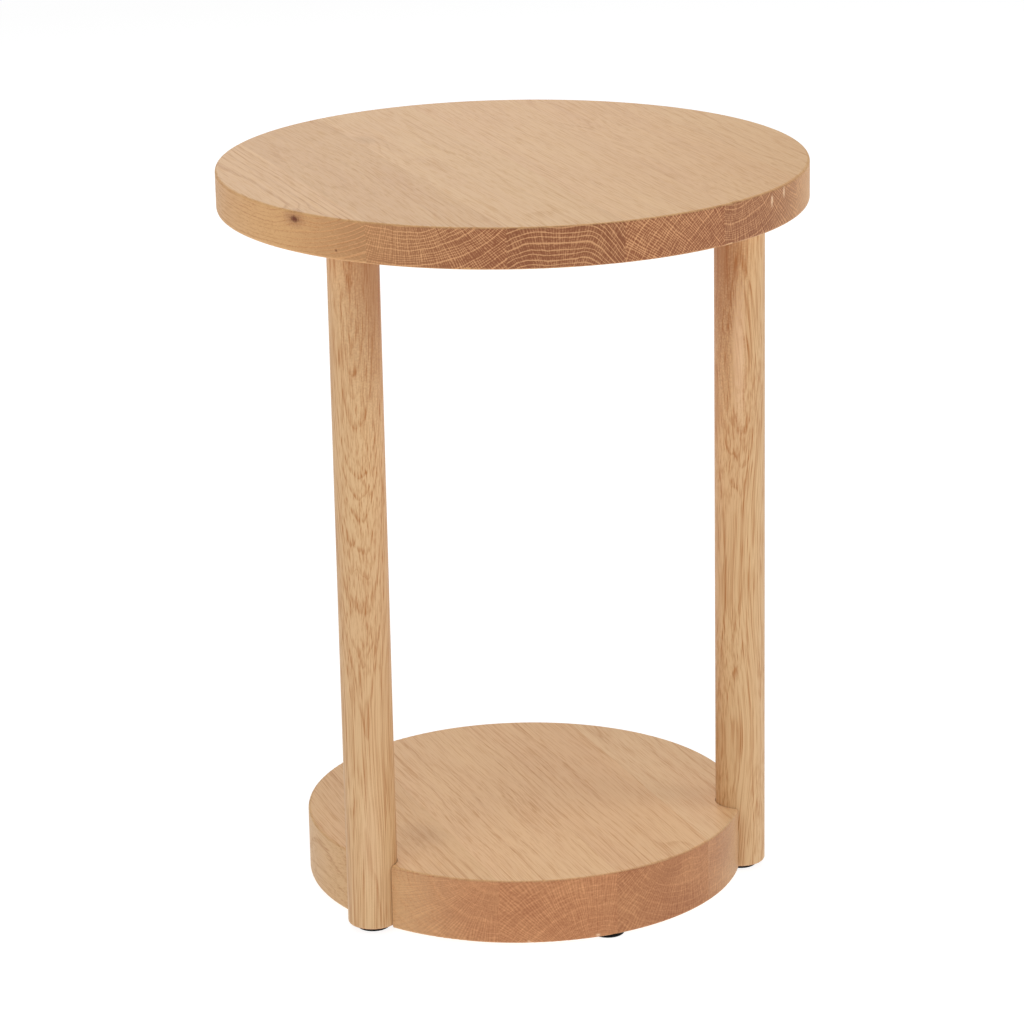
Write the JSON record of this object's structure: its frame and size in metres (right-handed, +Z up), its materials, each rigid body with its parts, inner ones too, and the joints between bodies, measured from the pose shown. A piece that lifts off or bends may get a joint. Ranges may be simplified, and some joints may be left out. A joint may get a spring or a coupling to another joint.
{
  "type": "round side table",
  "caption": "Round solid oak side table: a disc top on two off-centre round legs let into notches in a smaller, thicker disc base.",
  "frame": {"origin": "on the floor, under the common centre of the top and base discs", "axes": "+Z up; boards and grain of both discs along Y; the two legs stand left and right of the YZ symmetry plane, on the -Y side"},
  "size_m": [0.44, 0.44, 0.56],
  "materials": {
    "oak_top": "clear matt lacquer on solid oak boards, grain along Y",
    "oak_base": "clear matt lacquer on solid oak boards, grain along Y",
    "oak_leg": "clear matt lacquer on turned solid oak, grain along Z",
    "beech_dowel": "plain fluted beech, unfinished",
    "glide_plastic": "black moulded plastic, satin",
    "zinc_steel": "bright zinc plating",
    "insert_brass": "turned brass"
  },
  "bodies": {
    "root": {"top_board_1": "oak_top", "top_board_2": "oak_top", "top_board_3": "oak_top", "top_board_4": "oak_top", "top_board_5": "oak_top", "top_board_6": "oak_top", "base_board_1": "oak_base", "base_board_2": "oak_base", "base_board_3": "oak_base", "base_board_4": "oak_base", "leg_left": "oak_leg", "hanger_bolt_left": "zinc_steel", "top_insert_left": "insert_brass", "leg_insert_left": "insert_brass", "base_bolt_left": "zinc_steel", "base_washer_left": "zinc_steel", "dowel_left_lower": "beech_dowel", "dowel_left_upper": "beech_dowel", "leg_right": "oak_leg", "hanger_bolt_right": "zinc_steel", "top_insert_right": "insert_brass", "leg_insert_right": "insert_brass", "base_bolt_right": "zinc_steel", "base_washer_right": "zinc_steel", "dowel_right_lower": "beech_dowel", "dowel_right_upper": "beech_dowel", "glide_base_front": "glide_plastic", "glide_nail_base_front": "zinc_steel", "glide_base_left": "glide_plastic", "glide_nail_base_left": "zinc_steel", "glide_base_right": "glide_plastic", "glide_nail_base_right": "zinc_steel", "glide_leg_left": "glide_plastic", "glide_nail_leg_left": "zinc_steel", "glide_leg_right": "glide_plastic", "glide_nail_leg_right": "zinc_steel"}
  },
  "joints": []
}
